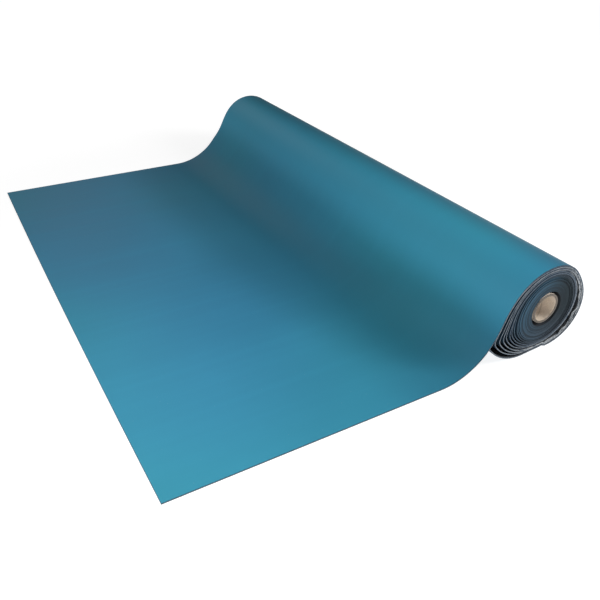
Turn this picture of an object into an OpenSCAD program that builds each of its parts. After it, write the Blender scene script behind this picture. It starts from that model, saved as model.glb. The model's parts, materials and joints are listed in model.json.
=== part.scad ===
// A roll of two-layer vinyl sheet, pulled out a little way over a flat floor.
// +X runs along the roll, +Y from the sheet's free edge towards the roll, +Z up.
// The origin is under the middle of the whole object, on the floor.

/* [Sheet] */
// Width of the sheet, which is also the length of the roll
sheet_w = 1200; // [600:10:1500]
// Thickness of the coloured face layer
face_t = 0.5; // [0.3:0.1:0.8]
// Thickness of the dark backing layer
back_t = 1.5; // [1.2:0.1:1.8]
// Length of sheet that slides over the floor with the free edge
laid_len = 420; // [200:10:800]
// Length of flat sheet that stays put in front of the rise
foot_len = 82; // [40:1:120]

/* [Core tube] */
// Bore of the cardboard tube
core_bore_d = 50.8; // [50:0.1:51.5]
// Wall of the cardboard tube
core_wall = 4.6; // [3:0.1:4.8]
// How far the tube stops short of the sheet's edge at each end
core_recess = 5; // [0:1:20]
// Thickness of the double-sided tape under the sheet's inner end
tape_t = 0.25; // [0.2:0.05:0.3]
// Angle of the tube's outside that the tape covers
tape_angle = 45; // [20:1:90]

/* [Winding] */
// Radius of the hole in the middle of the winding
hole_r = 34.5; // [34:0.5:36]
// Number of turns wound tight round the tube
tight_turns = 11; // [8:1:11]
// Number of slack turns outside them
loose_turns = 12; // [12:1:13]
// Radius of the roll at its top
roll_r = 89; // [88:0.5:92]
// Air between two tight turns
turn_air = 0.04; // [0.02:0.01:0.08]
// Clearance between the tight winding and the slack turns
turn_clearance = 0.4; // [0.35:0.05:0.5]

/* [Slack] */
// Growth of the lower front sag, for each degree round the roll
sag_slope = 0.85; // [0.6:0.05:0.9]
// Depth of the short steep part of the rise
rise_steep = 23; // [18:1:25]
// Depth of the long easy part of the rise
rise_easy = 30; // [24:1:32]
// How far the outer turns stand away at the back
back_bulge = 18; // [8:1:20]

/* [Hidden] */
$fn = 96;

FACE_COLOUR = [0.2, 0.5, 0.58];
BACKING_COLOUR = [0.13, 0.15, 0.17];
BOARD_COLOUR = [0.63, 0.54, 0.45];
TAPE_COLOUR = [0.85, 0.83, 0.75];

sheet_t = face_t + back_t;
tight_pitch = sheet_t + turn_air;
tight_r = hole_r + tight_turns * tight_pitch + sheet_t;

// The way round the roll is an angle in degrees from its front, over its top:
// 0 front, 90 top, 180 back, 270 bottom, then on into the next turn.
rise_start = -16.5;
rise_span = 113;
rise_steep_span = 8;
top_end = 90;
start_angle = 45;
inner_end = 360 * loose_turns + start_angle;
loose_pitch = (roll_r - tight_r - turn_clearance - sheet_t) / (inner_end / 360);

// The slack turns sag at their lower front, most in the outer ones, and stand away at the back,
// where the outermost four lie together as one bundle. Lengths are in mm, and places along the
// sheet in turns.
sag_start = -80;
sag_blend = 5;
sag_share = 0.84;
sag_power = 1.8;
first_sag_turn = 1.27;
first_turn_extra = 0.12;
first_turn_fade = [1.3, 1.8];
tip_round = 3;
tip_round_more = 5;
tip_round_growth = 1.5;
tip_round_turns = [1.2, 1.9];
back_mid = 210;
back_half = 72;
back_share_all = 0.25;
bundle_end = [3.3, 4.8];

// Every turn has stations at the same angles, closer where it bends sharply
station_step = 7.5;
tip_angle = -12;
near_tip = 33;
round_tip = 60;
tip_turns_end = 800;
bend_turns_end = 3000;
rise_bend_end = 20;
valley_step = 4;
probe_step = 0.2;
slide_in = 0.02;
angle_floor = -100;
steep_limit = 6;

function smooth(a, b, x) =
    let (u = min(1, max(0, (x - a) / (b - a)))) u * u * (3 - 2 * u);
// A ramp that starts softly, over about k, and the softened lesser of two lengths
function soft_ramp(x, k) = x > 0 ? x + k * ln(1 + exp(-x / k)) : k * ln(1 + exp(x / k));
function soft_min(a, b, k) = min(a, b) - k * ln(1 + exp(-abs(a - b) / k));
// Angle within one turn
function turn_angle(s) = s - 360 * floor((s - angle_floor) / 360);

// How far the rising sheet stands off the round roll at angle s
function rise_bulge(s) =
    rise_steep * exp(min(steep_limit, -(s - rise_start) / rise_steep_span))
    + rise_easy * pow(max(0, 1 - (s - rise_start) / rise_span), 2);
// How far a slack turn could stand off at its front, and how much of that it takes up
function tip_blend(turn) =
    tip_round + tip_round_more * smooth(tip_round_turns[0], tip_round_turns[1], turn)
    + tip_round_growth * max(0, turn - tip_round_turns[0]);
function front_bulge(s, turn) =
    let (a = turn_angle(s), sag = sag_slope * soft_ramp(a - sag_start, sag_blend))
    a > rise_start + rise_span ? 0 : max(0, soft_min(sag, rise_bulge(a), tip_blend(turn)));
function turns_left(turn) = max(0, min(1, (loose_turns - turn) / (loose_turns - first_sag_turn)));
function front_share(turn) =
    sag_share * pow(turns_left(turn), sag_power)
    + first_turn_extra * (1 - smooth(first_turn_fade[0], first_turn_fade[1], turn));
function front(s) =
    s < top_end + 90 ? rise_bulge(s) : front_share(s / 360) * front_bulge(s, s / 360);
// The same for its back
function back_swell(s) =
    let (d = turn_angle(s) - back_mid)
    abs(d) < back_half ? pow(cos(90 * d / back_half), 2) : 0;
function back_share(turn) =
    back_share_all * max(0, 1 - turn / loose_turns)
    + (1 - back_share_all) * (1 - smooth(bundle_end[0], bundle_end[1], turn));

function base_r(s) = roll_r - loose_pitch * s / 360;
function rise_r(s) = base_r(s) + rise_bulge(s);
function turns_r(s) = base_r(s) + front(s) + back_bulge * back_share(s / 360) * back_swell(s);

// Points are [y, z] from the middle of the winding
function polar(r, s) = [-r * cos(s), r * sin(s)];
function rise_pt(s) = polar(rise_r(s), s);
function turns_pt(s) = polar(turns_r(s), s);
function unit(v) = v / norm(v);
function side(v) = [v[1], -v[0]];
// Inward normals, towards the backing
function rise_in(s) = unit(side(rise_pt(s + probe_step) - rise_pt(s - probe_step)));
function turns_in(s) = unit(side(turns_pt(s + probe_step) - turns_pt(s - probe_step)));

function cuts(s) =
    let (d = abs(turn_angle(s + station_step / 2) - tip_angle))
    s < tip_turns_end && d < near_tip ? 3 : s < bend_turns_end && d < round_tip ? 2 : 1;
turn_stations = concat(
    [
        for (s = [top_end : station_step : inner_end - 1])
            for (i = [0 : cuts(s) - 1]) s + i * station_step / cuts(s)
    ],
    [inner_end]
);
function rise_step(s) = s < rise_bend_end ? station_step / 3 : station_step;
rise_stations = [for (s = rise_start; s < top_end; s = s + rise_step(s)) s, top_end];

// The roll's own low point and back decide where its middle is
outer_stations = [for (s = turn_stations) if (s < 720) s];
low_points = [for (s = outer_stations) -turns_pt(s)[1]];
back_points = [for (s = outer_stations) turns_pt(s)[0]];
roll_z = max(low_points);
back_y = max(back_points);

// The valley is one arc from the floor up to the start of the rise
rise_dir = rise_pt(rise_start + probe_step) - rise_pt(rise_start);
valley_angle = atan2(rise_dir[1], rise_dir[0]);
valley_top = rise_pt(rise_start);
valley_r = (valley_top[1] + roll_z - sheet_t) / (1 - cos(valley_angle));
valley_y = valley_top[0] - valley_r * sin(valley_angle);
valley_middle = [valley_y, sheet_t - roll_z + valley_r];
free_edge_y = valley_y - foot_len - laid_len;
depth = back_y - free_edge_y;
roll_y = depth / 2 - back_y;
// Gap that keeps the sliding stretch of sheet clear of the rest
body_gap = 0.3;

core_r = core_bore_d / 2 + core_wall;
// The tube hangs in the winding with its taped side against the sheet's inner end
core_shift = hole_r - tape_t - slide_in - core_r;
core_y = roll_y - core_shift * cos(start_angle);
core_z = roll_z + core_shift * sin(start_angle);

// A [y, z] outline carried along the roll, its middle at the roll's middle
module along_roll(w = sheet_w) {
    translate([-w / 2, roll_y, roll_z]) rotate([90, 0, 90]) linear_extrude(w) children();
}

// One layer of the sheet between two depths below its face
function rise_edge(d) = concat(
    [[valley_y - foot_len, sheet_t - roll_z - d]],
    [
        for (a = [0 : valley_step : valley_angle - valley_step / 2])
            valley_middle + (valley_r + d) * [sin(a), -cos(a)]
    ],
    [for (s = rise_stations) rise_pt(s) + d * rise_in(s)]
);
function turns_edge(d) = [
    for (s = turn_stations) turns_pt(s) + d * (s == top_end ? rise_in(s) : turns_in(s))
];
function reversed(p) = [for (i = [len(p) - 1 : -1 : 0]) p[i]];

module rise_layer(d0, d1) {
    along_roll() polygon(concat(rise_edge(d0), reversed(rise_edge(d1))));
}
module turns_layer(d0, d1) {
    along_roll() polygon(concat(turns_edge(d0), reversed(turns_edge(d1))));
}
module laid_layer(z0, z1) {
    translate([-sheet_w / 2, roll_y + free_edge_y, z0]) cube([sheet_w, laid_len - body_gap, z1 - z0]);
}
// Tight turns as half rings, each half turn centred half a pitch further on
module half_ring(r0, r1) {
    difference() {
        circle(r1);
        circle(r0);
        translate([-2 * r1, -4 * r1]) square(4 * r1);
    }
}
module wound_layer(d0, d1) {
    along_roll() rotate(180 - start_angle)
        for (k = [0 : tight_turns - 1]) {
            r = hole_r + k * tight_pitch;
            half_ring(r + d0, r + d1);
            translate([tight_pitch / 2, 0]) rotate(180)
                half_ring(r + tight_pitch / 2 + d0, r + tight_pitch / 2 + d1);
        }
}
module at_core(w) {
    translate([-w / 2, core_y, core_z]) rotate([90, 0, 90]) linear_extrude(w) children();
}

module laid_face() { color(FACE_COLOUR) laid_layer(back_t, sheet_t); }
module laid_backing() { color(BACKING_COLOUR) laid_layer(0, back_t); }
module rise_face() { color(FACE_COLOUR) rise_layer(0, face_t); }
module rise_backing() { color(BACKING_COLOUR) rise_layer(face_t, sheet_t); }
module outer_turns_face() { color(FACE_COLOUR) turns_layer(0, face_t); }
module outer_turns_backing() { color(BACKING_COLOUR) turns_layer(face_t, sheet_t); }
module wound_face() { color(FACE_COLOUR) wound_layer(back_t, sheet_t); }
module wound_backing() { color(BACKING_COLOUR) wound_layer(0, back_t); }
module core_tube() {
    color(BOARD_COLOUR) at_core(sheet_w - 2 * core_recess) difference() {
        circle(core_r);
        circle(core_bore_d / 2);
    }
}
module start_tape() {
    reach = 2 * core_r;
    color(TAPE_COLOUR) at_core(sheet_w - 4 * core_recess) intersection() {
        difference() {
            circle(core_r + tape_t);
            circle(core_r);
        }
        rotate(180 - start_angle)
            polygon([[0, 0], [reach, 0], reach * [cos(tape_angle), sin(tape_angle)]]);
    }
}

laid_face();
laid_backing();
rise_face();
rise_backing();
outer_turns_face();
outer_turns_backing();
wound_face();
wound_backing();
core_tube();
start_tape();
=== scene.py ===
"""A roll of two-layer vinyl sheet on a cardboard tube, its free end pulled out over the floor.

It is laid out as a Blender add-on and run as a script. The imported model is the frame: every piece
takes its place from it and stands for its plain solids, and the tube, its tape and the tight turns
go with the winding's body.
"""

import json
import math

import bpy
from mathutils import Matrix, Vector


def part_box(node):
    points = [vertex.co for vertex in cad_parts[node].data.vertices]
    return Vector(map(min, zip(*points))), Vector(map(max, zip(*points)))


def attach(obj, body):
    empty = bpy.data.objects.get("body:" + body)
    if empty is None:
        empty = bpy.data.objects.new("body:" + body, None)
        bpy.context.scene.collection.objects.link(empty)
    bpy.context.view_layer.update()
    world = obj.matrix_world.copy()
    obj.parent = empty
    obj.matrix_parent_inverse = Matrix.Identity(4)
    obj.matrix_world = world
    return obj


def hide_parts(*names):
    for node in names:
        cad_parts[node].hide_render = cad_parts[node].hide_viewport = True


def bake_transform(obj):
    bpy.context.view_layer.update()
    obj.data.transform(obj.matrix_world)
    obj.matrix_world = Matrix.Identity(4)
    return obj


bl_info = {
    "name": "Vinyl roll",
    "version": (1, 0, 0),
    "blender": (4, 5, 0),
    "location": "View3D > Sidebar > Vinyl roll",
    "description": "Builds a partly unrolled roll of two-layer vinyl sheet around its frame",
    "category": "Object",
}

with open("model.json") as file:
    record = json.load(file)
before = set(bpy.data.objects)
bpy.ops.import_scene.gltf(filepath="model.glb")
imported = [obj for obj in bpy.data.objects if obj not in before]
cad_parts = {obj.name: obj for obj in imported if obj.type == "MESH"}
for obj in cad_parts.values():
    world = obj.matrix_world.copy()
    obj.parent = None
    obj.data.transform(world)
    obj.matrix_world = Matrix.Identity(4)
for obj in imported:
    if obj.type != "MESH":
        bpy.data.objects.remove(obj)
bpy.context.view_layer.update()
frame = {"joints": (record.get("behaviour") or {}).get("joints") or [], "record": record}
MM = 0.001

# Places and sizes that the frame fixes, in metres
ROLL_TURN = next(j for j in frame["joints"] if j["name"] == "roll_turn")
AXIS_Y, AXIS_Z = ROLL_TURN["pos_m"][1:]
LAID_LOW, LAID_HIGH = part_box("laid_face")
SHEET_T = LAID_HIGH.z
FACE_T = SHEET_T - LAID_LOW.z
FREE_EDGE_Y = LAID_LOW.y
HALF_W = LAID_HIGH.x
TUBE_LOW, TUBE_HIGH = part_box("core_tube")
TUBE_R = (TUBE_HIGH.z - TUBE_LOW.z) / 2
TUBE_Y = (TUBE_HIGH.y + TUBE_LOW.y) / 2
TUBE_Z = (TUBE_HIGH.z + TUBE_LOW.z) / 2
BORE = next(m for m in frame["record"]["mounts"] if m["name"] == "core_bore")
BORE_R = BORE["dims"]["r_mm"] * MM

# The way round the roll is an angle in degrees from its front, over its top: 0 front, 90 top,
# 180 back, 270 bottom, then on into the next turn. The angles, turns and pitch are the ones that the
# frame's solids are built with. CLEARANCE and STEP_SHARE are this script's own, as the looks have a
# smaller gap round the tight winding than the solids.
RISE_START = -16.5
RISE_SPAN = 113
TOP = 90
START_ANGLE = 45
TIGHT_TURNS = 11
LOOSE_TURNS = 12
INNER_END = 360 * LOOSE_TURNS + START_ANGLE
TIGHT_PITCH = SHEET_T + 0.04 * MM
HOLE_R = 34.5 * MM
TIGHT_R = HOLE_R + TIGHT_TURNS * TIGHT_PITCH + SHEET_T
CLEARANCE = 0.15 * MM
# Share of a turn in which the sheet steps in by its own thickness, where the winding is round
STEP_SHARE = 0.2
SAG_START = -80
BACK_MID = 210
BACK_HALF = 72
# How far from its cut ends the tube has a ring of its own
RIM = 3 * MM
# The sheet's two layers: the depth of each below the face, and its thickness
LAYERS = (
    ("face", 0.0, FACE_T),
    ("backing", FACE_T + 0.02 * MM, SHEET_T - FACE_T - 0.02 * MM),
)
# Painted shade and a painted highlight held in the face's colour, which are not a property of the
# vinyl:
# painted shade through the valley, a painted highlight over the shoulder and painted shade from the
# roll's top on. Each has lengths of sheet from the free edge: the first two between which it builds
# up, the others between which it fades. The top's painted shade doesn't fade. Each share is how much
# of it is mixed in.
VALLEY_SHADE = (0.27, 0.42, 0.53, 0.64)
VALLEY_SHADE_SHARE = 0.38
SHOULDER_HIGHLIGHT = (0.63, 0.71, 0.75, 0.83)
SHOULDER_HIGHLIGHT_SHARE = 0.5
TOP_SHADE = (0.775, 0.865)
TOP_SHADE_SHARE = 0.52
# Colour of the painted shade from the roll's top on
TOP_SHADE_COLOUR = (0.062, 0.064, 0.084)
# How much further along the valley's painted shade lies at the +X end
VALLEY_SHADE_SKEW = 0.10
# Length of sheet, from the free edge, after which its face lies inside the roll
ROLLED_FROM = 1.25
# Length of sheet at which the tight winding begins
WOUND_FROM = 6.67


# ---------------------------------------------------------------- settings


class VinylSheetSettings(bpy.types.PropertyGroup):
    """Shape and colours of the sheet."""

    roll_r_near: bpy.props.FloatProperty(
        name="Roll radius, near end",
        description="Radius of the slack turns at the roll's top, at the +X end",
        default=89 * MM,
        unit="LENGTH",
    )
    roll_r_far: bpy.props.FloatProperty(
        name="Roll radius, far end",
        description="Radius of the slack turns at the roll's top, at the -X end",
        default=86.3 * MM,
        unit="LENGTH",
    )
    rise_steep_near: bpy.props.FloatProperty(
        name="Steep rise, near end",
        description="Depth of the short steep part of the rise at the +X end",
        default=23 * MM,
        unit="LENGTH",
    )
    rise_steep_far: bpy.props.FloatProperty(
        name="Steep rise, far end",
        description="Depth of the short steep part of the rise at the -X end",
        default=50 * MM,
        unit="LENGTH",
    )
    rise_easy_near: bpy.props.FloatProperty(
        name="Easy rise, near end",
        description="Depth of the long easy part of the rise at the +X end",
        default=30 * MM,
        unit="LENGTH",
    )
    rise_easy_far: bpy.props.FloatProperty(
        name="Easy rise, far end",
        description="Depth of the long easy part of the rise at the -X end",
        default=6 * MM,
        unit="LENGTH",
    )
    steep_span_near: bpy.props.FloatProperty(
        name="Steep span, near end",
        description="Degrees over which the steep part of the rise fades at the +X end",
        default=8,
    )
    steep_span_far: bpy.props.FloatProperty(
        name="Steep span, far end",
        description="Degrees over which the steep part of the rise fades at the -X end",
        default=12,
    )
    sag_slope: bpy.props.FloatProperty(
        name="Sag",
        description="Growth of the lower front sag for each degree round the roll",
        default=0.85 * MM,
        unit="LENGTH",
    )
    back_bulge: bpy.props.FloatProperty(
        name="Back bulge",
        description="How far the outer turns stand away at the back of the roll",
        default=18 * MM,
        unit="LENGTH",
    )
    end_shift: bpy.props.FloatProperty(
        name="End shift",
        description="How far the wound part sits back from the laid sheet's near edge",
        default=6 * MM,
        unit="LENGTH",
    )
    edge_bow: bpy.props.FloatProperty(
        name="Edge bow",
        description="How far the middle of the free edge stands out past its corners",
        default=3.5 * MM,
        unit="LENGTH",
    )
    crinkle: bpy.props.FloatProperty(
        name="Crinkle",
        description="How far the outer turns are crumpled into the gap behind them at the roll's ends",
        default=0.5,
        min=0,
        max=0.6,
    )
    face_colour: bpy.props.FloatVectorProperty(
        name="Face colour",
        description="Colour of the sheet's face layer",
        subtype="COLOR",
        size=3,
        min=0,
        max=1,
        default=(0.037, 0.245, 0.37),
    )
    # How strongly the painted shade of the valley and the top and the painted highlight over the
    # shoulder are mixed into the face's colour
    painted_shade_strength: bpy.props.FloatProperty(
        name="Painted shade strength",
        description="Strength of the shading tones of the valley, shoulder and top, 0 for none",
        default=1,
        min=0,
        max=1,
    )
    cut_colour: bpy.props.FloatVectorProperty(
        name="Cut colour",
        description="Colour of the face layer's cut edges",
        subtype="COLOR",
        size=3,
        min=0,
        max=1,
        default=(0.022, 0.046, 0.085),
    )
    backing_colour: bpy.props.FloatVectorProperty(
        name="Backing colour",
        description="Colour of the sheet's backing layer",
        subtype="COLOR",
        size=3,
        min=0,
        max=1,
        default=(0.022, 0.026, 0.032),
    )


class VinylTubeSettings(bpy.types.PropertyGroup):
    """Colours and plies of the cardboard tube and its tape."""

    board_colour: bpy.props.FloatVectorProperty(
        name="Board colour",
        description="Colour of the tube's cardboard",
        subtype="COLOR",
        size=3,
        min=0,
        max=1,
        default=(0.69, 0.60, 0.51),
    )
    ply_width: bpy.props.FloatProperty(
        name="Ply width",
        description="Width of the paper strip that is wound into the tube",
        default=75 * MM,
        unit="LENGTH",
    )
    tape_colour: bpy.props.FloatVectorProperty(
        name="Tape colour",
        description="Colour of the double-sided tape",
        subtype="COLOR",
        size=3,
        min=0,
        max=1,
        default=(0.72, 0.68, 0.52),
    )


class VinylStageSettings(bpy.types.PropertyGroup):
    """Floor, light and camera."""

    floor_colour: bpy.props.FloatVectorProperty(
        name="Floor colour",
        description="Colour of the studio floor",
        subtype="COLOR",
        size=3,
        min=0,
        max=1,
        default=(1.0, 1.0, 1.0),
    )
    camera_place: bpy.props.FloatVectorProperty(
        name="Camera place",
        description="Where the camera stands",
        subtype="TRANSLATION",
        size=3,
        default=(1.2054, -0.5688, 0.7224),
    )
    camera_turn: bpy.props.FloatProperty(
        name="Camera turn",
        description="How far the camera is turned from looking along +Y",
        subtype="ANGLE",
        default=math.radians(58.95),
    )
    camera_pitch: bpy.props.FloatProperty(
        name="Camera pitch",
        description="How far the camera looks down",
        subtype="ANGLE",
        default=math.radians(32.60),
    )
    camera_roll: bpy.props.FloatProperty(
        name="Camera roll",
        description="How far the camera leans to one side",
        subtype="ANGLE",
        default=math.radians(1.63),
    )
    camera_lens: bpy.props.FloatProperty(
        name="Camera lens",
        description="Focal length on a 36 mm wide film",
        default=38.86,
    )


# ---------------------------------------------------------------- shader maths


class Value:
    """A shader socket that can stand in a Python sum; each operator adds one Math node."""

    def __init__(self, finish, socket):
        self.finish = finish
        self.socket = socket

    def maths(self, operation, *others):
        return self.finish.add("ShaderNodeMath", {"operation": operation}, [self, *others])

    def __add__(self, other):
        return self.maths("ADD", other)

    def __radd__(self, other):
        return self.maths("ADD", other)

    def __sub__(self, other):
        return self.maths("SUBTRACT", other)

    def __rsub__(self, other):
        return self.finish.add("ShaderNodeMath", {"operation": "SUBTRACT"}, [other, self])

    def __mul__(self, other):
        return self.maths("MULTIPLY", other)

    def __rmul__(self, other):
        return self.maths("MULTIPLY", other)

    def __truediv__(self, other):
        return self.maths("DIVIDE", other)

    def __rtruediv__(self, other):
        return self.finish.add("ShaderNodeMath", {"operation": "DIVIDE"}, [other, self])

    def band(self, low, high):
        """0 below low, 1 above high, smooth between."""
        sockets = {"Value": self, "From Min": low, "From Max": high}
        settings = {"interpolation_type": "SMOOTHSTEP"}
        return self.finish.add("ShaderNodeMapRange", settings, sockets)


class Finish:
    """One material and the nodes in it."""

    def __init__(self, name):
        self.material = bpy.data.materials.new(name)
        self.material.use_nodes = True
        self.tree = self.material.node_tree
        self.shader = self.tree.nodes["Principled BSDF"]

    def add(self, kind, settings=None, sockets=None, output=0):
        """Adds a node of that kind: its settings, then its sockets' values and links."""
        node = self.tree.nodes.new(kind)
        for name, value in (settings or {}).items():
            setattr(node, name, value)
        pairs = enumerate(sockets) if isinstance(sockets, (list, tuple)) else (sockets or {}).items()
        for key, value in pairs:
            self.feed(node.inputs[key], value)
        return Value(self, node.outputs[output])

    def feed(self, socket, value):
        """Links a Value to the socket, or sets it; a colour of three numbers is made opaque."""
        if isinstance(value, Value):
            self.tree.links.new(value.socket, socket)
        elif socket.type == "RGBA" and len(value) == 3:
            socket.default_value = (*value, 1)
        else:
            socket.default_value = value

    def principled(self, **values):
        for name, value in values.items():
            self.feed(self.shader.inputs[name.replace("_", " ")], value)

    def mix(self, factor, a, b):
        """Colours a and b mixed by factor."""
        return self.add("ShaderNodeMix", {"data_type": "RGBA"}, {0: factor, 6: a, 7: b}, output=2)

    def uv(self):
        """The place on the sheet, in metres across it and along it from the free edge."""
        return self.add("ShaderNodeUVMap", {"uv_map": "sheet"})

    def place(self):
        """The place in the object's own coordinates, which are the frame's."""
        return self.add("ShaderNodeTexCoord", output=3)

    def parts(self, vector):
        """The x and y of a vector."""
        first = self.add("ShaderNodeSeparateXYZ", None, [vector])
        return first, Value(self, first.socket.node.outputs[1])

    def three_parts(self, vector):
        """The x, y and z of a vector."""
        first, second = self.parts(vector)
        return first, second, Value(self, first.socket.node.outputs[2])

    def scaled(self, vector, scale):
        return self.add("ShaderNodeVectorMath", {"operation": "MULTIPLY"}, [vector, scale])

    def noise(self, vector, scale, detail=2, roughness=0.5):
        """Noise between 0 and 1."""
        sockets = {"Vector": vector, "Scale": scale, "Detail": detail, "Roughness": roughness}
        return self.add("ShaderNodeTexNoise", None, sockets)

    def bump(self, height, distance, strength):
        sockets = {"Strength": strength, "Distance": distance, "Height": height}
        return self.add("ShaderNodeBump", None, sockets)


def cut_edge(across, along):
    """1 on the sheet's cut edges, which are as wide as the sheet is thick, and 0 elsewhere."""
    low = 1 - across.band(0.2 * MM, 0.9 * MM)
    high = across.band(2 * HALF_W - 0.9 * MM, 2 * HALF_W - 0.2 * MM)
    front = 1 - along.band(0.2 * MM, 0.9 * MM)
    return low.maths("MAXIMUM", high).maths("MAXIMUM", front)


def near_sides(across, reach):
    """1 at the sheet's two long edges, fading to 0 at that reach from them."""
    middle = (across - HALF_W).maths("ABSOLUTE")
    return middle.band(HALF_W - reach, HALF_W)


def wound_edge(finish, along, tone, paleness):
    """The cut edge's tone through the tight winding.

    It has paler and darker rings, each broader than one turn of the sheet. It holds painted light and
    shade: paler and bluer at the front, darker at the back, and darker by the tube, a painted shadow
    of the gap round the tube. It is also greyer low down.
    """
    y, z = finish.three_parts(finish.place())[1:]
    out = ((y - AXIS_Y) * (y - AXIS_Y) + (z - AXIS_Z) * (z - AXIS_Z)).maths("SQRT")
    rings = finish.noise(out, 150, 2, 0.6).band(0.43, 0.57)
    # Painted light and shade: paler and bluer at the front, darker at the back, and a painted shadow
    # by the tube
    front = (AXIS_Y - y).band(-50 * MM, 40 * MM)
    low = (AXIS_Z - z).band(0, 60 * MM)
    shadow_by_tube = 1 - out.band(HOLE_R - 2 * MM, HOLE_R + 9 * MM)
    blue, grey, dark = (0.036, 0.090, 0.140), (0.052, 0.068, 0.090), (0.013, 0.024, 0.030)
    wound = finish.mix(front, dark, blue)
    wound = finish.mix(low * 0.6, wound, grey)
    wound = finish.mix(1 - paleness, wound, (0.010, 0.016, 0.021))
    wound = finish.mix(rings * 0.75, wound, (0.008, 0.013, 0.018))
    wound = finish.mix(shadow_by_tube * 0.75, wound, (0.008, 0.011, 0.013))
    return finish.mix(along.band(WOUND_FROM - 2.6, WOUND_FROM - 1.0), tone, wound)


def face_vinyl(colour, cut_colour, painted_shade):
    """Satin teal vinyl with a fine pressed grain, streaks along it and light scuffs.

    painted_shade is how strongly the painted shade of the valley and the top and the painted highlight
    over the shoulder are held in its colour.
    """
    finish = Finish("teal_vinyl")
    uv = finish.uv()
    across, along = finish.parts(uv)
    clouds = finish.noise(uv, 2.2, 3)
    drift = finish.noise(uv, 1.1, 1)
    streaks = finish.noise(finish.scaled(uv, (38, 0.9, 1)), 1.0, 3)
    grain = finish.noise(uv, 1900, 2, 0.6)
    pores = finish.add("ShaderNodeTexVoronoi", None, {"Vector": uv, "Scale": 900})
    scuffs = finish.noise(finish.scaled(uv, (9, 160, 1)), 1.0, 4, 0.7).band(0.66, 0.74)
    specks = 1 - finish.add("ShaderNodeTexVoronoi", None, {"Vector": uv, "Scale": 60}).band(0.03, 0.06)
    red, green, blue = colour
    bluish = (red * 1.06, green * 0.91, blue * 1.02)
    greenish = (red * 0.94, green * 1.07, blue * 0.96)
    tone = finish.mix(drift.band(0.35, 0.65), bluish, greenish)
    tone = finish.mix((1 - clouds.band(0.32, 0.68)) * 0.16, tone, [c * 0.4 for c in colour])
    tone = finish.mix(streaks.band(0.4, 0.8) * 0.08, tone, [min(1, c * 1.5) for c in colour])
    tone = finish.mix(scuffs * 0.08, tone, [min(1, c * 1.3 + 0.03) for c in colour])
    tone = finish.mix(specks * 0.10, tone, (0.45, 0.5, 0.5))
    # Painted shade through the valley, a paler painted highlight over the shoulder, and darker, greyer
    # painted shade from the roll's top on
    skewed = along - VALLEY_SHADE_SKEW * across.band(0.9 * HALF_W, 2 * HALF_W)
    valley = skewed.band(*VALLEY_SHADE[:2]) * (1 - skewed.band(*VALLEY_SHADE[2:]))
    shoulder = along.band(*SHOULDER_HIGHLIGHT[:2]) * (1 - along.band(*SHOULDER_HIGHLIGHT[2:]))
    top = along.band(*TOP_SHADE) * (0.75 + 0.5 * clouds)
    tone = finish.mix(valley * (VALLEY_SHADE_SHARE * painted_shade), tone, [c * 0.42 for c in colour])
    tone = finish.mix(shoulder * (SHOULDER_HIGHLIGHT_SHARE * painted_shade), tone, [c * 1.52 + 0.004 for c in colour])
    tone = finish.mix(top * (TOP_SHADE_SHARE * painted_shade), tone, TOP_SHADE_COLOUR)
    # Inside the roll the face is painted dark close to its edges, a painted shade of the gaps between
    # the turns
    inner = along.band(ROLLED_FROM, ROLLED_FROM + 0.15) * near_sides(across, 40 * MM)
    tone = finish.mix(inner * 0.9, tone, [c * 0.4 for c in cut_colour])
    edge = cut_edge(across, along)
    cut = wound_edge(finish, along, cut_colour, 0.75)
    tone = finish.mix(edge * 0.9, tone, cut)
    gloss = 0.46 + 0.10 * clouds + 0.06 * streaks + 0.12 * scuffs + 0.2 * edge
    height = grain * 0.6 + pores * 0.4
    normal = finish.bump(height, 0.05 * MM, 0.35)
    finish.principled(Base_Color=tone, Roughness=gloss, Normal=normal, Specular_IOR_Level=0.24)
    return finish.material


def backing_vinyl(colour):
    """Dark vinyl, matt, with a woven press mark, paler where it is cut."""
    finish = Finish("dark_backing")
    uv = finish.uv()
    across, along = finish.parts(uv)
    clouds = finish.noise(uv, 5, 3)
    grain = finish.noise(uv, 1200, 3, 0.65)
    weave = (across * 2600).maths("SINE") * (along * 2600).maths("SINE")
    edge = cut_edge(across, along)
    drag = finish.noise(finish.scaled(uv, (700, 260, 1)), 1.0, 3, 0.6)
    patches = finish.noise(finish.scaled(uv, (90, 55, 1)), 1.0, 4, 0.7).band(0.38, 0.54)
    # Turns differ a little in tone at their edges
    turn_tone = finish.noise(finish.scaled(uv, (0, 2.6, 0)), 1.0, 2, 0.6).band(0.36, 0.64)
    dull = finish.mix(clouds, [c * 0.8 for c in colour], [c * 1.35 + 0.004 for c in colour])
    cut = finish.mix(drag.band(0.35, 0.7), (0.030, 0.042, 0.056), (0.105, 0.130, 0.160))
    cut = finish.mix(turn_tone * 0.5, cut, (0.130, 0.160, 0.190))
    cut = wound_edge(finish, along, cut, 1.0)
    # The outer turns' edges have pale patches, most of all behind: pale scuffs, and painted highlights
    # on the crinkles
    y, z = finish.three_parts(finish.place())[1:]
    behind = (y - AXIS_Y - (z - AXIS_Z) * 0.6).band(-20 * MM, 50 * MM) * 0.65 + 0.35
    outer = along.band(0.95, 1.35) * (1 - along.band(3.0, 3.9)) * behind
    pale = outer * patches * near_sides(across, 14 * MM)
    cut = finish.mix(pale * 0.8, cut, (0.42, 0.44, 0.45))
    tone = finish.mix(edge, finish.mix(pale * 0.4, dull, (0.14, 0.15, 0.155)), cut)
    gloss = 0.66 + 0.14 * clouds + 0.12 * edge
    normal = finish.bump(weave * 0.25 + grain * 0.75, 0.08 * MM, 0.5)
    finish.principled(Base_Color=tone, Roughness=gloss, Normal=normal, Specular_IOR_Level=0.18)
    return finish.material


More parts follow.
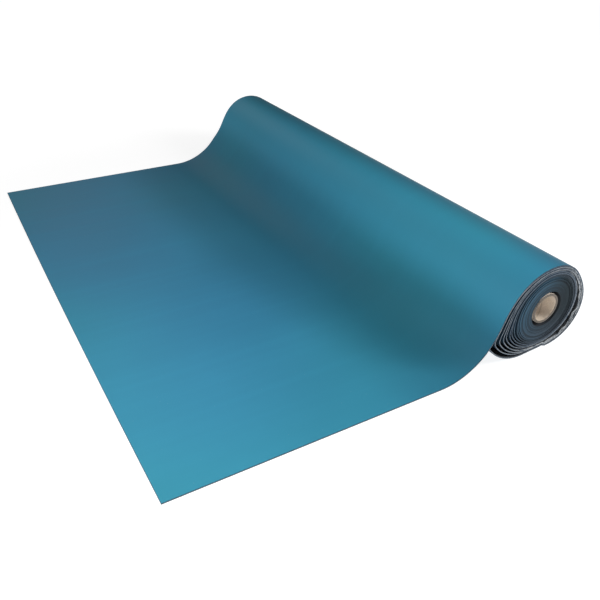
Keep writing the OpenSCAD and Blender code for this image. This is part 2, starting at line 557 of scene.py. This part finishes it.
def tube_board(colour, ply_width):
    """Brown paper board: a spiral ply seam, paper fibres and dark cut ends that show the plies."""
    finish = Finish("paper_board")
    place = finish.place()
    x, y, z = finish.three_parts(place)
    turn = (z - TUBE_Z).maths("ARCTAN2", y - TUBE_Y) / (2 * math.pi)
    out = ((y - TUBE_Y) * (y - TUBE_Y) + (z - TUBE_Z) * (z - TUBE_Z)).maths("SQRT")
    # The seam climbs one ply width for each turn
    lap = (x / ply_width + turn + 40).maths("FRACT")
    seam = 1 - (lap - 0.5).maths("ABSOLUTE").band(0.0, 0.02)
    fibres = finish.noise(finish.scaled(place, (900, 260, 260)), 1.0, 4, 0.7)
    blotch = finish.noise(finish.scaled(place, (18, 30, 30)), 1.0, 3)
    speck = finish.noise(place, 1500, 2).band(0.66, 0.72)
    end = x.maths("ABSOLUTE").band(TUBE_HIGH.x - 1.2 * MM, TUBE_HIGH.x - 0.4 * MM)
    outside = out.band(BORE_R + 1 * MM, BORE_R + 2 * MM)
    plies = (out * 1100 + finish.noise(place, 160, 2)).maths("FRACT").band(0.3, 0.7)
    pale = [min(1, c * 1.15 + 0.02) for c in colour]
    dark = [c * 0.82 for c in colour]
    tone = finish.mix(fibres.band(0.25, 0.75), dark, pale)
    tone = finish.mix(blotch.band(0.45, 0.75) * 0.3, tone, (0.62, 0.50, 0.24))
    tone = finish.mix(speck * 0.5, tone, [c * 0.5 for c in colour])
    tone = finish.mix(seam * 0.6, tone, [c * 0.35 for c in colour])
    cut = finish.mix(plies, [c * 0.10 for c in colour], [c * 0.20 for c in colour])
    # The bore is painted darker along its lower side, a painted shade
    shaded_low_side = (TUBE_Z - z).band(0.2 * BORE_R, BORE_R) * (0.7 + 0.6 * blotch)
    tone = finish.mix(shaded_low_side * 0.36, tone, [c * 0.3 for c in colour])
    tone = finish.mix(outside * 0.5, tone, [c * 0.6 for c in colour])
    tone = finish.mix(end * 0.95, tone, cut)
    gloss = 0.78 + 0.12 * fibres
    normal = finish.bump(fibres * 0.7 - seam * 0.6, 0.25 * MM, 0.6)
    finish.principled(Base_Color=tone, Roughness=gloss, Normal=normal, Specular_IOR_Level=0.25)
    return finish.material


def tape_film(colour):
    """Double-sided tape: cream film over a woven scrim."""
    finish = Finish("tape_film")
    place = finish.place()
    x, y, z = finish.three_parts(place)
    scrim = (x * 3800).maths("SINE").maths("MAXIMUM", ((y + z) * 3800).maths("SINE"))
    cloud = finish.noise(place, 40, 3)
    tone = finish.mix(cloud, [c * 0.85 for c in colour], colour)
    tone = finish.mix(scrim.band(0.7, 1.0) * 0.3, tone, [c * 0.6 for c in colour])
    normal = finish.bump(scrim, 0.03 * MM, 0.5)
    finish.principled(Base_Color=tone, Roughness=0.35 + 0.2 * cloud, Normal=normal)
    return finish.material


def studio_floor(colour):
    """Plain pale floor that glows like a light table, so shadows on it stay faint."""
    finish = Finish("studio_floor")
    place = finish.place()
    away = finish.add("ShaderNodeVectorMath", {"operation": "LENGTH"}, [place], output=1)
    glow = finish.mix(away.band(0.6, 1.5), [c * 0.84 for c in colour], colour)
    finish.principled(
        Base_Color=[c * 0.3 for c in colour],
        Roughness=0.9,
        Specular_IOR_Level=0.0,
        Emission_Color=glow,
        Emission_Strength=1.0,
    )
    return finish.material


# ---------------------------------------------------------------- the sheet's way round the roll


def smooth(low, high, x):
    u = min(1.0, max(0.0, (x - low) / (high - low)))
    return u * u * (3 - 2 * u)


def soft_ramp(x, k):
    return x if x > 20 * k else k * math.log1p(math.exp(x / k))


def soft_min(a, b, k):
    return min(a, b) - k * math.log1p(math.exp(-abs(a - b) / k))


def turn_angle(s):
    """Angle within one turn, from -100 up to 260."""
    return s - 360 * math.floor((s + 100) / 360)


def polar(r, s):
    return Vector((-r * math.cos(math.radians(s)), r * math.sin(math.radians(s))))


class SheetPath:
    """Where the sheet's face runs, as (y, z) from the roll's axis, at one place x along the roll."""

    def __init__(self, settings, x):
        near = (x + HALF_W) / (2 * HALF_W)
        self.roll_r = self.between(settings.roll_r_far, settings.roll_r_near, near)
        self.steep = self.between(settings.rise_steep_far, settings.rise_steep_near, near)
        self.easy = self.between(settings.rise_easy_far, settings.rise_easy_near, near)
        self.steep_span = self.between(settings.steep_span_far, settings.steep_span_near, near)
        self.sag_slope = settings.sag_slope
        self.back_bulge = settings.back_bulge * self.between(0.75, 1.0, near)
        self.pitch = (self.roll_r - TIGHT_R - CLEARANCE - SHEET_T) / (INNER_END / 360)
        self.crinkle = settings.crinkle * self.edge_share(x)
        self.find_valley()

    @staticmethod
    def between(far, near, share):
        return far + (near - far) * share

    @staticmethod
    def edge_share(x):
        """1 at the roll's ends, fading away within about 200 mm of them."""
        return math.exp(-(HALF_W - abs(x)) / (45 * MM))

    def find_valley(self):
        """The valley is one arc from the floor up to the start of the rise."""
        top = self.rise(RISE_START)
        slope = self.rise(RISE_START + 0.2) - top
        self.valley_angle = math.degrees(math.atan2(slope.y, slope.x))
        height = top.y + AXIS_Z - SHEET_T
        self.valley_r = height / (1 - math.cos(math.radians(self.valley_angle)))
        self.valley_y = top.x - self.valley_r * math.sin(math.radians(self.valley_angle))

    def rise_bulge(self, s):
        steep = self.steep * math.exp(min(6.0, -(s - RISE_START) / self.steep_span))
        easy = self.easy * max(0.0, 1 - (s - RISE_START) / RISE_SPAN) ** 2
        return steep + easy

    def front_bulge(self, s, turn):
        a = turn_angle(s)
        if a > RISE_START + RISE_SPAN:
            return 0.0
        k = (3 + 5 * smooth(1.2, 1.9, turn) + 1.5 * max(0.0, turn - 1.2)) * MM
        sag = self.sag_slope * soft_ramp(a - SAG_START, 5)
        return max(0.0, soft_min(sag, self.rise_bulge(a), k))

    def front_share(self, turn):
        left = max(0.0, min(1.0, (LOOSE_TURNS - turn) / (LOOSE_TURNS - 1.27)))
        return 0.84 * left**1.8 + 0.12 * (1 - smooth(1.3, 1.8, turn))

    def back_swell(self, s):
        d = turn_angle(s) - BACK_MID
        return math.cos(math.radians(90 * d / BACK_HALF)) ** 2 if abs(d) < BACK_HALF else 0.0

    def back_share(self, turn):
        return 0.25 * max(0.0, 1 - turn / LOOSE_TURNS) + 0.75 * (1 - smooth(3.3, 4.8, turn))

    def base_r(self, s):
        """The outer turns shrink evenly. The inner ones lie round, and step in after START_ANGLE."""
        turn = s / 360
        part = (turn - START_ANGLE / 360) % 1
        stepped = smooth(3, 11, turn) * (smooth(0, STEP_SHARE, part) - part)
        return self.roll_r - self.pitch * (turn + stepped)

    def rise(self, s):
        return polar(self.base_r(s) + self.rise_bulge(s), s)

    def turns(self, s):
        turn = s / 360
        if s < TOP + 90:
            front = self.rise_bulge(s)
        else:
            front = self.front_share(turn) * self.front_bulge(s, turn)
        back = self.back_bulge * self.back_share(turn) * self.back_swell(s)
        return polar(self.base_r(s) + front + back + self.crumple(s, turn), s)

    def crumple(self, s, turn):
        """At the roll's ends the bundle's inner turns have been pushed in, unevenly."""
        a = turn_angle(s)
        push = smooth(0.95, 3.4, turn) * (1 - smooth(3.5, 4.6, turn))
        waves = ((9, 20, 0.20), (16, 75, 0.16), (29, 0, 0.14))
        wave = 0.5 + sum(size * math.sin(math.radians(a * count + at)) for count, at, size in waves)
        return -self.crinkle * push * wave * self.back_bulge * self.back_swell(s)

    def tight(self, s):
        """The outermost tight turns lie round too, and step in just before START_ANGLE."""
        turn = (s - INNER_END) / 360
        stepped = (1 - smooth(0, 7, turn)) * (smooth(1 - STEP_SHARE, 1, turn % 1) - turn % 1)
        return polar(TIGHT_R - TIGHT_PITCH * (turn + stepped), s)

    def point(self, stretch, s):
        """A point of the face. On the flat stretch s is y; in the valley it is the arc's angle."""
        if stretch == "flat":
            return Vector((s, SHEET_T - AXIS_Z))
        if stretch == "valley":
            a = math.radians(s * self.valley_angle)
            out = Vector((math.sin(a), 1 - math.cos(a))) * self.valley_r
            return Vector((self.valley_y, SHEET_T - AXIS_Z)) + out
        return {"rise": self.rise, "turns": self.turns, "tight": self.tight}[stretch](s)

    def inward(self, stretch, s):
        """The unit normal towards the backing."""
        step = 0.001 if stretch in ("flat", "valley") else 0.2
        ahead = self.point(stretch, s + step) - self.point(stretch, s - step)
        return Vector((ahead.y, -ahead.x)).normalized()


def free_edge_bow(settings, x):
    return settings.edge_bow * (1 - (x / HALF_W) ** 2)


def even(low, high, count):
    """count + 1 even places from low to high."""
    return [low + (high - low) * i / count for i in range(count + 1)]


def pulled_stations():
    """The stretches of sheet from the free edge to the inner end of the slack turns."""
    flat = [("flat", share) for share in even(0, 1, 26)]
    valley = [("valley", share) for share in even(0, 1, 16)[1:-1]]
    rise = [("rise", s) for s in even(RISE_START, TOP, 42)[:-1]]
    turns, s = [], float(TOP)
    while s < INNER_END:
        turns.append(("turns", s))
        bend = abs(turn_angle(s) + 12)
        crinkled = 340 < s < 1700 and abs(turn_angle(s) - BACK_MID) < 60
        s += 2.5 if (s < 1500 and bend < 60) or crinkled else 5.0
    return flat + valley + rise + turns + [("turns", float(INNER_END))]


def wound_stations():
    inner = INNER_END + 360 * TIGHT_TURNS
    return [("tight", s) for s in even(INNER_END, inner, 72 * TIGHT_TURNS)]


def end_shift(settings, stretch, s):
    """How far along the roll the sheet has crept at this place, so the end isn't quite flush."""
    if stretch in ("flat", "valley"):
        return 0.0
    turn = s / 360
    crept = settings.end_shift * smooth(-0.1, 0.2, turn)
    step = 0.9 * math.sin(turn * 2.3) + 0.6 * math.sin(turn * 5.1 + 1)
    return -crept + step * MM * smooth(0.2, 1.0, turn) * (1 - smooth(11, 13, turn))


# ---------------------------------------------------------------- making meshes


def deselect():
    if bpy.context.object and bpy.context.object.mode != "OBJECT":
        bpy.ops.object.mode_set(mode="OBJECT")
    bpy.ops.object.select_all(action="DESELECT")


def only(obj):
    """Selects obj alone and makes it active."""
    deselect()
    obj.select_set(True)
    bpy.context.view_layer.objects.active = obj


def apply_modifier(obj, name, kind, **values):
    only(obj)
    modifier = obj.modifiers.new(name, kind)
    for key, value in values.items():
        setattr(modifier, key, value)
    bpy.ops.object.modifier_apply(modifier=name)


def finish_piece(obj, material, slot, *nodes):
    """Gives a piece its material, and hides the solids that it stands for. slot is not used."""
    obj.data.materials.clear()
    obj.data.materials.append(material)
    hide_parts(*nodes)


def open_cylinder(name, radius, length, vertices):
    """A cylinder without ends, lying along the tube's axis, its place in its mesh."""
    deselect()
    bpy.ops.mesh.primitive_cylinder_add(
        vertices=vertices,
        radius=radius,
        depth=length,
        end_fill_type="NOTHING",
        location=(0, TUBE_Y, TUBE_Z),
        rotation=(0, math.pi / 2, 0),
    )
    obj = bpy.context.object
    obj.name = obj.data.name = name
    bpy.ops.object.transform_apply(location=True, rotation=True, scale=True)
    return obj


def select_where(obj, test, kind="VERT"):
    """In edit mode, selects the vertices or faces whose middle passes the test."""
    bpy.ops.mesh.select_all(action="DESELECT")
    bpy.ops.mesh.select_mode(type=kind)
    bpy.ops.object.mode_set(mode="OBJECT")
    parts = obj.data.vertices if kind == "VERT" else obj.data.polygons
    for part in parts:
        part.select = test(part.co if kind == "VERT" else part.center)
    bpy.ops.object.mode_set(mode="EDIT")


def around_tube(co):
    """Angle of a point round the tube's axis, from 0 at +Y over +Z."""
    return math.atan2(co.z - TUBE_Z, co.y - TUBE_Y) % (2 * math.pi)


def high_radius(low, high):
    """Radius of a strip that lies on the tube's front, from its outermost corner."""
    return max(TUBE_Y - low.y, math.hypot(high.y - TUBE_Y, high.z - TUBE_Z))


def sheet_columns():
    """Places across the sheet, closer together near its two edges."""
    half = [0, 110, 220, 320, 400, 460, 505, 540, 565, 582, 592, 597, 600]
    right = [HALF_W * v / half[-1] for v in half]
    return [-v for v in reversed(right[1:])] + right


def wrap_sheet(name, settings, stations, columns, depth, thickness, uv_start=0.0):
    """A flat grid laid along the sheet's path, depth below its face, then made thickness thick.

    Its UV is in metres, across the sheet and along it from the free edge, and begins at uv_start.
    """
    deselect()
    rows = len(stations) - 1
    cells = len(columns) - 1
    bpy.ops.mesh.primitive_grid_add(x_subdivisions=cells, y_subdivisions=rows, size=2)
    obj = bpy.context.object
    obj.name = obj.data.name = name
    mesh = obj.data
    places, lengths = [], []
    for x in columns:
        path = SheetPath(settings, x)
        line = []
        for stretch, s in stations:
            if stretch == "flat":
                edge_y = FREE_EDGE_Y - AXIS_Y - free_edge_bow(settings, x)
                s = edge_y + (path.valley_y - edge_y) * s
            spot = path.point(stretch, s) + path.inward(stretch, s) * depth
            creep = end_shift(settings, stretch, s)
            line.append(Vector((x + creep, spot.x + AXIS_Y, spot.y + AXIS_Z)))
        places.append(line)
    middle = places[len(columns) // 2]
    run = 0.0
    for j, spot in enumerate(middle):
        run += (spot - middle[j - 1]).length if j else 0.0
        lengths.append(run)
    cell_of = []
    for v in mesh.vertices:
        i = round((v.co.x + 1) / 2 * cells)
        j = round((v.co.y + 1) / 2 * rows)
        cell_of.append((i, j))
        v.co = places[i][j]
    uv = mesh.uv_layers.active
    uv.name = "sheet"
    for loop in mesh.loops:
        i, j = cell_of[loop.vertex_index]
        uv.data[loop.index].uv = (columns[i] + HALF_W, uv_start + lengths[j])
    apply_modifier(
        obj,
        "thick",
        "SOLIDIFY",
        thickness=thickness,
        offset=-1,
        use_even_offset=False,
        use_quality_normals=True,
    )
    only(obj)
    bpy.ops.object.shade_smooth_by_angle(angle=math.radians(50))
    return obj, run


# ---------------------------------------------------------------- operators


class VINYL_OT_stage(bpy.types.Operator):
    """Floor, soft studio light and camera"""

    bl_idname = "vinyl.stage"
    bl_label = "Stage"

    def execute(self, context):
        settings = context.scene.vinyl_stage
        self.camera(context, settings)
        self.floor(settings)
        self.lights()
        self.world(context)
        return {"FINISHED"}

    def camera(self, context, settings):
        data = bpy.data.cameras.new("camera")
        data.lens = settings.camera_lens
        data.sensor_width = 36
        data.clip_start = 0.01
        obj = bpy.data.objects.new("camera", data)
        context.scene.collection.objects.link(obj)
        turn = Matrix.Rotation(settings.camera_turn, 4, "Z")
        tilt = Matrix.Rotation(math.pi / 2 - settings.camera_pitch, 4, "X")
        lean = Matrix.Rotation(settings.camera_roll, 4, "Z")
        obj.matrix_world = Matrix.Translation(settings.camera_place) @ turn @ tilt @ lean
        context.scene.camera = obj

    def floor(self, settings):
        deselect()
        bpy.ops.mesh.primitive_plane_add(size=30)
        floor = bpy.context.object
        floor.name = floor.data.name = "studio_floor"
        floor.location.z = -0.0002
        bpy.ops.object.transform_apply(location=True, rotation=False, scale=False)
        floor.data.materials.append(studio_floor(settings.floor_colour))

    def lights(self):
        self.area("near_back_light", (1.5, 1.5, 1.2), 1.0, 42)
        self.area("front_light", (0.5, -0.8, 1.0), 0.6, 7.6)
        self.area("end_light", (2.0, -0.9, 0.8), 0.8, 10.5)
        self.area("far_light", (-2.2, 0, 1.2), 1.2, 5)
        self.area("corner_light", (0.6, -0.5, 1.0), 0.5, 0.25, aim=(0.5, -0.4, 0), spread=40)

    def area(self, name, place, size, power, aim=(0, 0, 0.05), spread=180):
        """A round soft light of that size across, turned towards its aim."""
        data = bpy.data.lights.new(name, "AREA")
        data.shape = "DISK"
        data.size = size
        data.energy = power
        data.spread = math.radians(spread)
        obj = bpy.data.objects.new(name, data)
        bpy.context.scene.collection.objects.link(obj)
        obj.location = place
        obj.rotation_euler = (Vector(aim) - Vector(place)).to_track_quat("-Z", "Y").to_euler()
        obj.visible_camera = False

    def world(self, context):
        world = bpy.data.worlds.new("studio")
        context.scene.world = world
        world.use_nodes = True
        tree = world.node_tree
        room = tree.nodes["Background"]
        room.inputs["Color"].default_value = (1, 1, 1, 1)
        room.inputs["Strength"].default_value = 0.02
        # The room gives almost no light, but what is seen past the floor is as pale as the floor
        seen = tree.nodes.new("ShaderNodeBackground")
        seen.inputs["Color"].default_value = (1, 1, 1, 1)
        path = tree.nodes.new("ShaderNodeLightPath")
        either = tree.nodes.new("ShaderNodeMixShader")
        tree.links.new(path.outputs["Is Camera Ray"], either.inputs["Fac"])
        tree.links.new(room.outputs["Background"], either.inputs[1])
        tree.links.new(seen.outputs["Background"], either.inputs[2])
        tree.links.new(either.outputs["Shader"], tree.nodes["World Output"].inputs["Surface"])
        context.scene.view_settings.view_transform = "Standard"


class VINYL_OT_pulled_sheet(bpy.types.Operator):
    """The laid sheet, the rise and the slack turns, in two bonded layers"""

    bl_idname = "vinyl.pulled_sheet"
    bl_label = "Pulled-out sheet"

    def execute(self, context):
        settings = context.scene.vinyl_sheet
        stations, columns = pulled_stations(), sheet_columns()
        finishes = {
            "face": face_vinyl(settings.face_colour, settings.cut_colour, settings.painted_shade_strength),
            "backing": backing_vinyl(settings.backing_colour),
        }
        for layer, depth, thickness in LAYERS:
            name = f"pulled_{layer}"
            obj, run = wrap_sheet(name, settings, stations, columns, depth, thickness)
            nodes = [f"{stretch}_{layer}" for stretch in ("laid", "rise", "outer_turns")]
            finish_piece(obj, finishes[layer], f"{layer}_vinyl", *nodes)
            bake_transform(obj)
        return {"FINISHED"}


class VINYL_OT_wound_sheet(bpy.types.Operator):
    """The tight turns that go round with the tube, in two bonded layers"""

    bl_idname = "vinyl.wound_sheet"
    bl_label = "Wound sheet"

    def execute(self, context):
        settings = context.scene.vinyl_sheet
        stations = wound_stations()
        columns = [HALF_W * share for share in (-1, -0.9, 0, 0.9, 1)]
        for layer, depth, thickness in LAYERS:
            name = f"wound_turns_{layer}"
            obj, run = wrap_sheet(name, settings, stations, columns, depth, thickness, WOUND_FROM)
            material = bpy.data.objects[f"pulled_{layer}"].data.materials[0]
            finish_piece(obj, material, f"{layer}_vinyl", f"wound_{layer}")
            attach(obj, "winding")
        return {"FINISHED"}


class VINYL_OT_tube(bpy.types.Operator):
    """The cardboard tube, wound from paper strip, with cut ends"""

    bl_idname = "vinyl.tube"
    bl_label = "Cardboard tube"

    def execute(self, context):
        settings = context.scene.vinyl_tube
        obj = self.make()
        material = tube_board(settings.board_colour, settings.ply_width)
        finish_piece(obj, material, "tube_board", "core_tube")
        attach(obj, "winding")
        return {"FINISHED"}

    def make(self):
        """The outside is set up and thickened inwards to the bore, and the rims are eased."""
        wall = TUBE_R - BORE_R
        obj = open_cylinder("paper_tube", TUBE_R, 2 * TUBE_HIGH.x, 96)
        bpy.ops.object.mode_set(mode="EDIT")
        # A ring close to each cut end, so that only the end itself is made uneven
        for x in (-TUBE_HIGH.x + RIM, TUBE_HIGH.x - RIM):
            bpy.ops.mesh.select_all(action="SELECT")
            bpy.ops.mesh.bisect(plane_co=(x, 0, 0), plane_no=(1, 0, 0))
        bpy.ops.mesh.select_all(action="DESELECT")
        bpy.ops.object.mode_set(mode="OBJECT")
        apply_modifier(obj, "wall", "SOLIDIFY", thickness=wall, offset=-1, use_even_offset=True)
        apply_modifier(obj, "rim", "BEVEL", width=0.4 * MM, segments=2, limit_method="ANGLE")
        only(obj)
        bpy.ops.object.mode_set(mode="EDIT")
        select_where(obj, lambda co: abs(co.x) > TUBE_HIGH.x - 0.5 * RIM)
        bpy.ops.transform.vertex_random(offset=0.12 * MM, uniform=0.6, seed=4)
        bpy.ops.object.mode_set(mode="OBJECT")
        bpy.ops.object.shade_smooth_by_angle(angle=math.radians(40))
        return obj


class VINYL_OT_tape(bpy.types.Operator):
    """The double-sided tape that holds the sheet's inner end to the tube"""

    bl_idname = "vinyl.tape"
    bl_label = "Start tape"

    def execute(self, context):
        low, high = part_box("start_tape")
        thick = high_radius(low, high) - TUBE_R
        first = math.atan2(high.z - TUBE_Z, high.y - TUBE_Y)
        last = math.atan2(low.z - TUBE_Z, low.y - TUBE_Y) % (2 * math.pi)
        obj = open_cylinder("tape_strip", TUBE_R + thick, 2 * high.x, 192)
        bpy.ops.object.mode_set(mode="EDIT")
        inside = first + 0.01, last - 0.01
        select_where(obj, lambda co: not inside[0] < around_tube(co) < inside[1], "FACE")
        bpy.ops.mesh.delete(type="FACE")
        bpy.ops.object.mode_set(mode="OBJECT")
        apply_modifier(obj, "film", "SOLIDIFY", thickness=0.8 * thick, offset=-1)
        only(obj)
        bpy.ops.object.shade_smooth_by_angle(angle=math.radians(40))
        finish_piece(obj, tape_film(context.scene.vinyl_tube.tape_colour), "tape", "start_tape")
        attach(obj, "winding")
        return {"FINISHED"}


class VINYL_PT_panel(bpy.types.Panel):
    """The steps, in order"""

    bl_idname = "VINYL_PT_panel"
    bl_label = "Vinyl roll"
    bl_space_type = "VIEW_3D"
    bl_region_type = "UI"
    bl_category = "Vinyl roll"

    def draw(self, context):
        for operator in STEPS:
            self.layout.operator(operator.bl_idname)


STEPS = (
    VINYL_OT_stage,
    VINYL_OT_pulled_sheet,
    VINYL_OT_wound_sheet,
    VINYL_OT_tube,
    VINYL_OT_tape,
)
GROUPS = {
    "vinyl_sheet": VinylSheetSettings,
    "vinyl_tube": VinylTubeSettings,
    "vinyl_stage": VinylStageSettings,
}


def register():
    for name, group in GROUPS.items():
        bpy.utils.register_class(group)
        setattr(bpy.types.Scene, name, bpy.props.PointerProperty(type=group))
    for operator in STEPS:
        bpy.utils.register_class(operator)
    bpy.utils.register_class(VINYL_PT_panel)


def unregister():
    bpy.utils.unregister_class(VINYL_PT_panel)
    for operator in reversed(STEPS):
        bpy.utils.unregister_class(operator)
    for name, group in GROUPS.items():
        delattr(bpy.types.Scene, name)
        bpy.utils.unregister_class(group)


def main():
    register()
    bpy.ops.vinyl.stage()
    bpy.ops.vinyl.pulled_sheet()
    bpy.ops.vinyl.wound_sheet()
    bpy.ops.vinyl.tube()
    bpy.ops.vinyl.tape()


if __name__ == "__main__":
    main()
